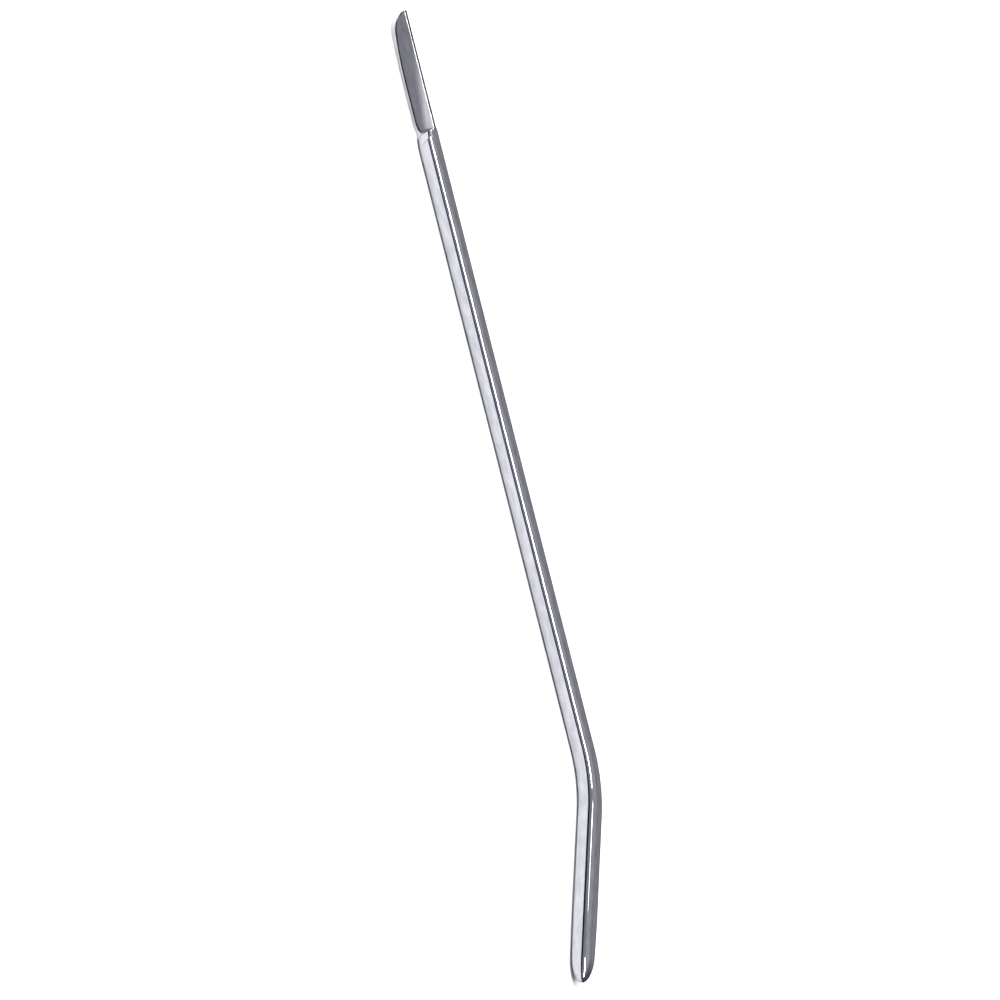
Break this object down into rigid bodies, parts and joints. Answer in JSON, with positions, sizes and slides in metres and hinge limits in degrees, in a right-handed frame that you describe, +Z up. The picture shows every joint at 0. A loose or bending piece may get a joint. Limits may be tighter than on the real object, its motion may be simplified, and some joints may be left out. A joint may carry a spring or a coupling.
{
  "type": "spudger tool",
  "caption": "Bare steel spudger: a square bar with a skew-tipped knife blade at one end and a bent, round-nosed foot at the other.",
  "frame": {"origin": "centre of the tool's box in X and Y, on the surface that it lies on", "axes": "+X along the shank from the blade towards the foot, -Y the side that the foot bends to, +Z up"},
  "size_m": [0.1752, 0.0242, 0.0038],
  "materials": {
    "polished_steel": "polished",
    "ground_steel": "fine ground"
  },
  "bodies": {
    "root": {"knife_blade": "ground_steel", "shank": "polished_steel", "bend": "polished_steel", "foot": "polished_steel"}
  },
  "joints": []
}
